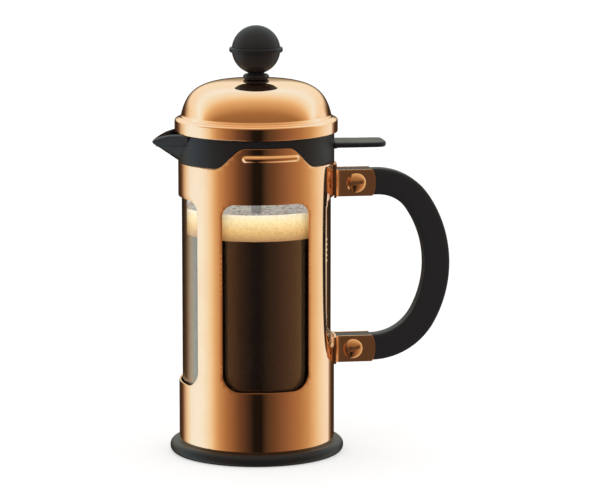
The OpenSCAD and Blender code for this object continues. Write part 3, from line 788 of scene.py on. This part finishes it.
for name in ("upper", "lower"):
    placed(buildScrew(name + "_slotted_screw", screwForm, screwForm[name]), "stand", "polished_copper",
           copperSmall, name + "_screw")
print("stage: brackets built")


glassForm = {"outer": 35.0, "wall": 2.0, "floor": 2.2, "low": 9.2, "high": 148.0, "foot": 6.0}


def buildGlass(f):
    r, w = f["outer"], f["wall"]
    line = [
        (0, f["low"], 0), (r, f["low"], f["foot"]), (r, f["high"], w / 2 - 0.02),
        (r - w, f["high"], w / 2 - 0.02), (r - w, f["low"] + f["floor"], f["foot"] - w),
        (0, f["low"] + f["floor"], 0)]
    obj = turned("glass_beaker", filletLine(line, closed=False, steps=12), 224, closed=False)
    return settle(obj, 40)


placed(buildGlass(glassForm), "glass", "clear_glass", glass, "beaker")


collarForm = {
    "outer": 36.6, "inner": 33.1, "skirt": 1.3, "gap": 0.3, "rim": 148.0, "top": 153.0,
    "spoutReach": 48.88, "spoutHalf": 15.8, "spoutWall": 1.7, "mouth": 16.0,
    # heights of the spout's rims and keel, by distance from the axis
    "spoutTop": ((33, 151.9), (38.6, 151.9), (42.2, 151.35), (45.2, 150.35), (47.2, 149.4), (48.6, 148.5),
                 (48.9, 148.0)),
    "spoutKeel": ((33, 137.9), (36.6, 139.0), (45.1, 144.9), (47.6, 146.5), (48.7, 147.3), (48.9, 147.7)),
    "leverReach": 61.0, "leverHalf": 10.0, "leverLow": 144.3, "leverThick": 3.0, "leverRoot": 35.6,
    "leverDish": 0.55, "ribHalf": 1.2, "ribLow": 143.1,
}


def buildSkirt(c, f):
    # the collar's outer wall: straight top, lower edge that follows the sheet's edge with a gap
    r = c["outer"]
    k = math.degrees(1 / r)
    seam = 90.0  # under the thumb lever
    angles = edgeAngles(f, seam, 1.5, c["gap"])
    low = columns(angles / k, np.maximum(topEdge(f, angles, c["gap"]), f["edge"] + c["gap"]))
    top = columns(np.arange(seam + 360, seam - 0.01, -2.0) / k, c["top"])
    right, left = seamEdges(k, seam, np.arange(f["edge"] + 2.5, c["top"] - 1, 2.5))
    outer = np.concatenate([low, right, top, left])
    inner = pointGrid(np.arange(seam + 1, seam + 359, 2.0) / k, np.arange(f["edge"] + 1.5, c["top"], 1.6))
    # the way from the beaker into the spout
    a0, a1 = (270 - c["mouth"]) / k, (270 + c["mouth"]) / k
    z0, z1 = c["rim"] + 0.6, c["top"] - 0.5
    hole = densify(np.array([(a0, z0), (a1, z0), (a1, z1), (a0, z1)]), 1.2)
    ok = insideLoop(inner, outer) & farFrom(inner, outer, 0.4)
    ok &= ~insideLoop(inner, hole) & farFrom(inner, hole, 0.6)
    return wrapSheet("collar_skirt", r, c["skirt"], 0.2, outer, [hole], inner[ok])


def buildRim(c):
    line = filletLine([
        (c["inner"], c["rim"] + 0.02, 0.3), (c["outer"] - 0.4, c["rim"] + 0.75, 0.2),
        (c["outer"] - 0.4, c["top"] - 0.05, 0.3), (c["inner"], c["top"] - 0.05, 0.5)])
    obj = turned("collar_rim", line, 180, sweep=328, start=-74)
    return settle(obj, 40)


def buildSpout(c):
    # an open channel of V-like sections, each y = w v, z = low + (top - low) |v|^p
    n, m = 40, 41
    t = np.linspace(0, 1, n)
    x = -(33.9 + (c["spoutReach"] - 33.9) * t)
    w = c["spoutHalf"] * (1 - t) ** 0.92 * (1 - 0.10 * t) + 0.55 * t
    w += 1.3 * np.sqrt(np.clip(t * (1 - t), 0, 1))
    top, low = (np.interp(-x, *zip(*c[part])) for part in ("spoutTop", "spoutKeel"))
    v = np.linspace(-1, 1, m)
    shape = np.abs(v) ** np.interp(t, [0, 1], [1.9, 1.35])[:, None]
    y = w[:, None] * v
    z = low[:, None] + (top - low)[:, None] * shape
    obj = makeObject("spout", columns(x[:, None], y, z), gridFaces(n, m))
    weld(obj, outward=False)
    faceAlong(obj, lambda face: -face.normal.z)
    thicken(obj, c["spoutWall"])
    easeEdges(obj, 0.25, 3, 50)
    # the floor of the channel, just under the level of the glass rim
    s = np.linspace(0, 1, 16)[:, None]
    fy = v * (c["spoutHalf"] - 3.6) * (1 - s) ** 1.05
    floor = makeObject("spout_floor", columns(-35.6 - 11.6 * s, fy, 148.3 - 1.2 * s), gridFaces(16, m))
    weld(floor, outward=False)
    faceAlong(floor, lambda face: face.normal.z)
    thicken(floor, 1.4)
    return settle(obj, 50), settle(floor, 40)


def buildLever(c):
    # a flat tongue with rounded edge and tip, top slightly dished
    n, m, reach, wide = 60, 48, c["leverReach"], c["leverHalf"]
    s = np.linspace(0, 1, n)
    x = c["leverRoot"] + (reach - c["leverRoot"]) * np.sin(s * math.pi / 2)
    far = np.clip((x - (reach - 7)) / 7, 0, 1)
    half = wide * (1 - far ** 3.2) ** (1 / 3.2)
    near = np.clip((x - (reach - 1.6)) / 1.6, 0, 1)
    thick = c["leverThick"] / 2 * np.sqrt(np.clip(1 - near ** 2, 0, 1))
    t = fullTurn(m)
    u, v = rounded(np.cos(t), 0.35), rounded(np.sin(t), 0.55)
    y = half[:, None] * u
    z = c["leverLow"] + c["leverThick"] / 2 + thick[:, None] * v
    dish = c["leverDish"] * np.clip(1 - (y / wide) ** 2, 0, 1) * smooth((x - 42) / 8)[:, None]
    dish = dish * (1 - smooth((x - 55) / 6))[:, None]
    z = np.where(v > 0, z - dish, z)
    faces = gridFaces(n, m, closeCols=True)
    faces.append(list(range(m))[::-1])
    obj = makeObject("thumb_lever", columns(x[:, None], y, z), faces)
    weld(obj)
    settle(obj, 55)
    # the short rib that carries it
    side = [(35.5, 145), (35.5, c["ribLow"]), (37.6, c["ribLow"]), (42.6, 145)]
    walls = [[i, i + 4, (i + 1) % 4 + 4, (i + 1) % 4] for i in range(4)]
    rib = makeObject("lever_rib", [(x, s * c["ribHalf"], z) for s in (-1, 1) for x, z in side],
                     [[0, 1, 2, 3], [7, 6, 5, 4], *walls])
    weld(rib)
    easeEdges(rib, 0.35, 3)
    return obj, settle(rib)


collarObj = joined("collar", [buildSkirt(collarForm, sheetForm), buildRim(collarForm),
                              *buildSpout(collarForm), *buildLever(collarForm)])
placed(collarObj, "collar_body", "black_plastic", blackPlastic, "collar")
print("stage: collar built")


domeForm = {
    "band": 38.2, "bandLow": 152.2, "bandHigh": 158.1, "sheet": 0.8, "shelfIn": 35.7, "shelf": 159.0,
    "foot": 35.3, "low": 159.4, "top": 176.4, "hole": 3.9, "spread": 0.955, "full": 3.5,
}


def domeLine(f, n=90):
    # the height falls from the top as the logarithm of 1 - (spread r / foot) ^ full
    r = f["foot"] * np.sin(np.linspace(math.pi / 2, math.asin(f["hole"] / f["foot"]), n))
    fall = np.log(1 - (f["spread"] * r / f["foot"]) ** f["full"])
    z = f["top"] - (f["top"] - f["low"]) * fall / fall[0]
    return columns(r, z)


def buildDome(f):
    b = f["band"]
    band = filletLine([
        (b - 0.35, f["bandLow"], 0), (b, f["bandLow"] + 0.3, 0.3), (b, f["bandHigh"], 1.1),
        (f["shelfIn"] + 0.1, f["shelf"], 0.6), (f["foot"] - 0.05, f["low"] + 0.7, 0)], closed=False, steps=9)
    dome = domeLine(f)
    dome = dome[dome[:, 1] > f["low"] + 0.7]
    outer = np.concatenate([band, dome])
    slope = np.gradient(outer, axis=0)
    normal = columns(slope[:, 1], -slope[:, 0])
    normal /= np.linalg.norm(normal, axis=1)[:, None]
    inner = outer - normal * f["sheet"]
    inner[0] = (b - f["sheet"], f["bandLow"] + 0.05)
    inner[:, 0] = np.maximum(inner[:, 0], f["hole"])
    inner = inner[inner[:, 1] > f["bandLow"] - 0.01]
    obj = turned("lid_dome", np.concatenate([outer, inner[::-1]]), 256)
    return settle(obj, 35)


placed(buildDome(domeForm), "lid", "polished_copper", copper, "lid_dome")
placeEased("lid", "black_plastic", blackPlastic, {"lid_liner": 0.2})
placeEased("lid_ring", "seal", sealRubber, {"lid_gasket": 0.15})
placeEased("lid", "steel", steel, {"bush_nut": 0.25})


bushForm = {"outer": 6.1, "high": 2.7, "round": 1.3, "stem": 3.9, "bore": 2.6, "down": 6.8}


def buildBush(f, top):
    line = filletLine([
        (f["bore"], top - f["down"], 0.2), (f["stem"], top - f["down"], 0.3), (f["stem"], top, 0),
        (f["outer"], top, f["round"]), (f["outer"], top + f["high"], f["round"]),
        (f["bore"], top + f["high"], 0.25)])
    return settle(turned("rod_bush", line, 96), 40)


placed(buildBush(bushForm, domeForm["top"]), "lid", "black_plastic", blackPlastic, "rod_bush")
print("stage: lid built")


knobForm = {
    "ball": 11.35, "middle": 190.4, "ring": 12.5, "ringHigh": 2.4, "neck": 3.9, "neckLow": 179.3,
    "groove": 0.25, "bore": 2.55,
}


def ballArc(f, z0, z1, n=28):
    # the ball's outline between two heights measured from its middle
    a = np.linspace(math.asin(z0 / f["ball"]), math.asin(min(1, z1 / f["ball"])), n)
    return [(f["ball"] * math.cos(q), f["middle"] + f["ball"] * math.sin(q)) for q in a]


def buildKnob(f):
    h = f["ringHigh"] / 2
    neckTop = -math.sqrt(f["ball"] ** 2 - f["neck"] ** 2)
    seamLow, seamHigh = f["middle"] - h, f["middle"] + h
    rIn = math.sqrt(f["ball"] ** 2 - h ** 2) - f["groove"]
    low, bore, neck = f["neckLow"], f["bore"], f["neck"]
    lower = [(0, low + 6), (bore, low + 6), (bore, low + 0.2), (bore + 0.2, low), (neck - 0.3, low),
             (neck, low + 0.3)]
    lower += ballArc(f, neckTop, -h - 0.12) + [(rIn, seamLow), (0, seamLow)]
    upper = [(0, seamHigh), (rIn, seamHigh)] + ballArc(f, h + 0.12, f["ball"])
    ring = filletLine([
        (0, seamLow + 0.01, 0), (f["ring"], seamLow + 0.01, 0.75), (f["ring"], seamHigh - 0.01, 0.75),
        (0, seamHigh - 0.01, 0)], closed=False, steps=8)
    made = []
    for name, line in (("knob_lower_half", lower), ("knob_upper_half", upper), ("knob_ring", ring)):
        made.append(settle(turned(name, line, 128, closed=False), 40))
    return made


knobLow, knobHigh, knobRing = buildKnob(knobForm)
placed(knobLow, "plunger", "black_knob", knobPlastic, "knob_lower")
placed(knobHigh, "plunger", "black_knob", knobPlastic, "knob_upper")
placed(knobRing, "plunger", "black_knob", blackPlastic, "knob_ring")
placeEased("plunger", "steel", steel, {"knob_insert": 0.15})


rodLow, rodHigh = (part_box("plunger_rod")[i][2] / mm for i in (0, 1))
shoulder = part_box("spiral_plate")[0][2] / mm + 0.8
rodForm = {"radius": 2.5, "thread": 2.0, "knobEnd": 184.4}


def buildRod(f):
    r, t, end = f["radius"], f["thread"], f["knobEnd"]
    line = [(0, rodLow), (t - 0.5, rodLow), (t, rodLow + 0.5), (t, shoulder), (r - 0.2, shoulder),
            (r, shoulder + 0.2), (r, end - 0.2), (r - 0.2, end), (t, end), (t, rodHigh - 0.3),
            (t - 0.3, rodHigh), (0, rodHigh)]
    return settle(turned("plunger_rod", line, 64, closed=False), 35)


placed(buildRod(rodForm), "rod", "steel", rodSteel, "plunger_rod")


springForm = {"turns": 76, "wire": 0.32, "points": 14}


def buildSpring(f):
    # a helix of wire bent round into a ring, the last turn meeting the first
    low, high = (np.array(corner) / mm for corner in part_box("filter_spring"))
    coil, zc = (high[2] - low[2]) / 2, (high[2] + low[2]) / 2
    ring = high[0] - coil
    n = f["turns"] * f["points"]
    a = fullTurn(n)
    b = a * f["turns"]
    rr = coil - f["wire"]
    reach = ring + rr * np.cos(b)
    centre = columns(reach * np.cos(a), reach * np.sin(a), zc + rr * np.sin(b))
    along = np.roll(centre, -1, axis=0) - np.roll(centre, 1, axis=0)
    along /= np.linalg.norm(along, axis=1)[:, None]
    out = columns(np.cos(b) * np.cos(a), np.cos(b) * np.sin(a), np.sin(b))
    out -= (out * along).sum(axis=1)[:, None] * along
    out /= np.linalg.norm(out, axis=1)[:, None]
    side = np.cross(along, out)
    c, s = circle(fullTurn(8)).T[:, None, :, None]
    pts = centre[:, None, :] + f["wire"] * (c * out[:, None, :] + s * side[:, None, :])
    obj = makeObject("filter_spring", pts, gridFaces(n, 8, True, True))
    weld(obj, 0.0005)
    return settle(obj, 60)


placed(buildSpring(springForm), "plunger", "steel", steel, "filter_spring")


def buildCloth():
    # the cloth lies flat and turns up round the spring at its rim
    low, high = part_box("mesh_screen")
    z0, r = low[2] / mm, high[0] / mm
    line = [(2.1, z0 + 0.1), (r - 1.2, z0 + 0.1), (r - 0.5, z0 + 0.25), (r - 0.12, z0 + 0.7),
            (r - 0.02, z0 + 1.3), (r - 0.14, z0 + 1.3), (r - 0.24, z0 + 0.75), (r - 0.6, z0 + 0.38),
            (r - 1.2, z0 + 0.25), (2.1, z0 + 0.25)]
    return settle(turned("filter_cloth", line, 160), 40)


placed(buildCloth(), "plunger", "steel", wireCloth, "mesh_screen")
placeEased("plunger", "steel", steel, {"spiral_plate": 0.15, "cross_plate": 0.2, "filter_nut": 0.25})
print("stage: plunger built")


# coffee in the beaker, shown but no part of the press
coffeeForm = {"radius": 32.94, "low": 11.5, "coffeeTop": 104.9, "foamTop": 117.4,
              "foamLow": 112.6, "foamIn": 26.5}


def coffeeMaterial():
    mat, tree, shader, vec = startMaterial("coffee")
    noise = noiseAt(tree, vec, Scale=40.0, Detail=3.0)
    tint = mixColors(tree, noise, (0.008, 0.004, 0.0025, 1), (0.012, 0.006, 0.004, 1))
    feedAll(shader, {"Base Color": tint, "Roughness": 0.14, "Specular IOR Level": 1.0, "Coat Weight": 1.0,
                     "Coat Roughness": 0.08})
    return mat


def colorRamp(tree, value, points):
    node = addNode(tree, "ShaderNodeValToRGB", Fac=value)
    elements = node.color_ramp.elements
    for element, (place, color) in zip(elements, (points[0], points[-1])):
        element.position, element.color = place, (*color, 1)
    for place, color in points[1:-1]:
        elements.new(place).color = (*color, 1)
    return node.outputs["Color"]


def foamMaterial(form):
    # pale at the top, darker and warmer towards the coffee, with small bubbles
    mat, tree, shader, vec = startMaterial("coffee_foam")
    level = mapRange(tree, separate(tree, vec)["Z"], {"From Min": form["coffeeTop"] * mm,
                                                      "From Max": form["foamTop"] * mm})
    tint = colorRamp(tree, level, [(0.0, (0.40, 0.19, 0.07)), (0.35, (0.74, 0.44, 0.16)),
                                   (0.7, (0.92, 0.70, 0.36)), (1.0, (0.95, 0.82, 0.62))])
    cells = addNode(tree, "ShaderNodeTexVoronoi", Scale=620.0, Vector=vec).outputs["Distance"]
    tone = mapRange(tree, cells, {"From Max": 0.6, "To Min": 0.78})
    bubbly = mixColors(tree, 0.8, tint, tone, "MULTIPLY")
    # painted light: the foam glows faintly in its own colour, standing in for the light the glass keeps from
    # it
    feedAll(shader, {"Base Color": bubbly, "Emission Color": bubbly, "Emission Strength": 0.36,
                     "Roughness": 0.5})
    addBump(tree, shader, cells, 0.5, 0.3)
    return mat


def frothMaterial():
    # the froth seen from above: pale bubbles with dark gaps
    mat, tree, shader, vec = startMaterial("coffee_froth")
    cells = addNode(tree, "ShaderNodeTexVoronoi", Scale=640.0, Vector=vec).outputs["Distance"]
    tint = colorRamp(tree, cells, [(0.30, (0.90, 0.87, 0.83)), (0.78, (0.42, 0.37, 0.32))])
    # painted light: the froth glows in its own colour, standing in for the light that reaches it
    feedAll(shader, {"Base Color": tint, "Emission Color": tint, "Emission Strength": 0.5, "Roughness": 0.3})
    addBump(tree, shader, cells, 0.6, 0.4)
    return mat


def buildDrink(f):
    r, low = f["radius"], f["low"]
    body = filletLine([(0, low, 0), (r, low, 4.0), (r, f["coffeeTop"], 0), (0, f["coffeeTop"], 0)],
                      closed=False, steps=8)
    # the foam climbs the glass towards its edge
    rr = np.linspace(r, 0, 64)
    rim = np.clip((rr - f["foamIn"]) / (r - f["foamIn"]), 0, 1) ** 1.6
    wave = f["foamLow"] + (f["foamTop"] - f["foamLow"]) * rim + 0.15 * np.sin(rr * 1.3)
    under = f["coffeeTop"] + 0.02
    foam = np.concatenate([[(0, under), (r, under)], columns(rr, wave)])
    coffee = settle(turned("coffee", body, 160, closed=False), 40)
    top = settle(turned("coffee_foam", foam, 160, closed=False), 60)
    for obj, mat in ((coffee, coffeeMaterial()), (top, foamMaterial(f))):
        obj.data.materials.append(mat)
        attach(obj, "glass")
    top.data.materials.append(frothMaterial())
    for face in top.data.polygons:
        face.material_index = 1 if face.normal.z > 0.3 else 0


buildDrink(coffeeForm)


stageForm = {"floor": 12.0, "floorColor": 0.55, "floorGlow": 0.5, "ambient": 1.06,
             "bandsEnd": 0.24, "drinkTint": (0.98, 0.76, 0.56)}


def floorMaterial(form):
    mat, tree, shader, _ = startMaterial("pale floor")
    feedAll(shader, {"Base Color": (*([form["floorColor"]] * 3), 1), "Roughness": 0.9,
                     "Specular IOR Level": 0.0, "Emission Color": (1, 1, 1, 1),
                     "Emission Strength": form["floorGlow"]})
    path = tree.nodes.new("ShaderNodeLightPath")
    lightSwitch(tree, path.outputs["Is Glossy Ray"], shader)  # polished faces don't mirror the floor
    return mat


def buildFloor(form):
    s = form["floor"] / mm
    obj = makeObject("floor", [(-s, -s, 0), (s, -s, 0), (s, s, 0), (-s, s, 0)], [[0, 1, 2, 3]])
    obj.data.materials.append(floorMaterial(form))


# what polished faces mirror, by direction round the press: degrees from the camera's side, colour
studioBands = [
    (-180, (0.05, 0.03, 0.015)), (-150, (0.06, 0.035, 0.02)), (-142, (0.19, 0.10, 0.05)),
    (-127, (0.90, 0.80, 0.60)), (-115, (0.99, 1.24, 1.35)), (-100, (1.02, 1.28, 1.52)),
    (-86, (1.01, 1.25, 1.36)), (-78, (0.98, 1.10, 1.08)), (-71, (0.95, 0.92, 0.72)),
    (-64, (0.80, 0.62, 0.36)), (-57, (0.63, 0.40, 0.20)), (-45, (0.43, 0.23, 0.11)),
    (-26, (0.17, 0.085, 0.046)), (-13, (0.07, 0.04, 0.028)), (-4, (0.014, 0.011, 0.009)),
    (7, (0.012, 0.010, 0.008)), (11, (0.05, 0.032, 0.02)), (17, (0.10, 0.06, 0.035)),
    (28, (0.17, 0.088, 0.048)), (46, (0.31, 0.16, 0.086)), (66, (0.47, 0.26, 0.12)),
    (82, (0.63, 0.42, 0.21)), (96, (0.86, 0.70, 0.45)), (107, (0.94, 0.93, 0.75)),
    (118, (0.99, 1.04, 0.98)), (132, (1.02, 1.10, 1.12)), (140, (0.30, 0.18, 0.10)),
    (148, (0.06, 0.035, 0.02)),
]
# the same over the top of the press: degrees from the camera's horizon, up and over to the far side
overheadBands = [
    (0, (0.20, 0.11, 0.05)), (36, (0.41, 0.23, 0.10)), (56, (0.66, 0.45, 0.23)), (72, (0.80, 0.59, 0.34)),
    (87, (0.92, 0.80, 0.54)), (100, (0.98, 1.00, 0.86)), (114, (0.99, 1.14, 1.14)),
    (132, (1.00, 1.28, 1.50)), (150, (1.00, 1.10, 1.05)), (168, (1.00, 0.95, 0.75)),
    (176, (0.90, 0.70, 0.45)), (180, (0.45, 0.28, 0.14)),
]
cameraForm = {"azimuth": -8.0, "distance": 1.581, "height": 0.3558, "lens": 204.3, "aimHeight": 0.0978,
              "aside": 0.0205}


def bandRamp(tree, bands, low, high, place):
    # a colour ramp that holds the bands at half strength
    points = [((degrees - low) / (high - low), tuple(c / 2 for c in color)) for degrees, color in bands]
    if low < 0:
        points.append((1.0, points[0][1]))  # all the way round, so the end meets the start
    return colorRamp(tree, place, points)


def buildWorld(bands, overhead, form):
    world = bpy.data.worlds.new("soft studio")
    bpy.context.scene.world = world
    world.use_nodes = True
    tree = world.node_tree
    coords = tree.nodes.new("ShaderNodeTexCoord")
    turn = addNode(tree, "ShaderNodeMapping", Vector=coords.outputs["Generated"],
                   Rotation=(0, 0, math.radians(-cameraForm["azimuth"])))
    place = separate(tree, turn.outputs[0])
    near = mathNode(tree, "MULTIPLY", place["Y"], -1.0)
    around = mathNode(tree, "DIVIDE", mathNode(tree, "ARCTAN2", place["X"], near), 2 * math.pi)
    over = mathNode(tree, "DIVIDE", mathNode(tree, "ARCTAN2", place["Z"], near), math.pi)
    side = bandRamp(tree, bands, -180, 180, mathNode(tree, "ADD", around, 0.5))
    top = bandRamp(tree, overhead, 0, 180, over)
    lift = mapRange(tree, place["Z"], {"From Min": 0.0, "From Max": form["bandsEnd"]},
                    {"interpolation_type": "SMOOTHSTEP"})
    full = addNode(tree, "ShaderNodeVectorMath", {"operation": "SCALE"}, Scale=2.0)
    link(mixColors(tree, lift, side, top), full.inputs[0])
    # polished faces see the bands, everything else sees even white
    path = tree.nodes.new("ShaderNodeLightPath").outputs
    bounced = mathNode(tree, "MINIMUM", path["Glossy Depth"], 1.0)
    mirrored = mathNode(tree, "MULTIPLY", path["Is Glossy Ray"], bounced)
    # what the drink mirrors through the glass is warmer
    behindGlass = mathNode(tree, "MINIMUM", path["Transmission Depth"], 1.0)
    warm = mixColors(tree, behindGlass, full.outputs[0], (*form["drinkTint"], 1), "MULTIPLY")
    seen = mixColors(tree, mirrored, (*[form["ambient"]] * 3, 1), warm)
    link(seen, tree.nodes["Background"].inputs["Color"])


def buildCamera(c):
    a = math.radians(c["azimuth"])
    eye = Vector((c["distance"] * math.sin(a), -c["distance"] * math.cos(a), c["height"]))
    aim = Vector((c["aside"] * math.cos(a), c["aside"] * math.sin(a), c["aimHeight"]))
    data = bpy.data.cameras.new("camera")
    data.sensor_width = 36
    data.lens = c["lens"]
    data.clip_end = 100
    obj = addObject("camera", data)
    look = (aim - eye).to_track_quat("-Z", "Y").to_matrix().to_4x4()
    obj.matrix_world = Matrix.Translation(eye) @ look
    bpy.context.scene.camera = obj


buildFloor(stageForm)
buildWorld(studioBands, overheadBands, stageForm)
buildCamera(cameraForm)
bpy.context.scene.view_settings.view_transform = "Standard"
print("stage: floor, light and camera set")
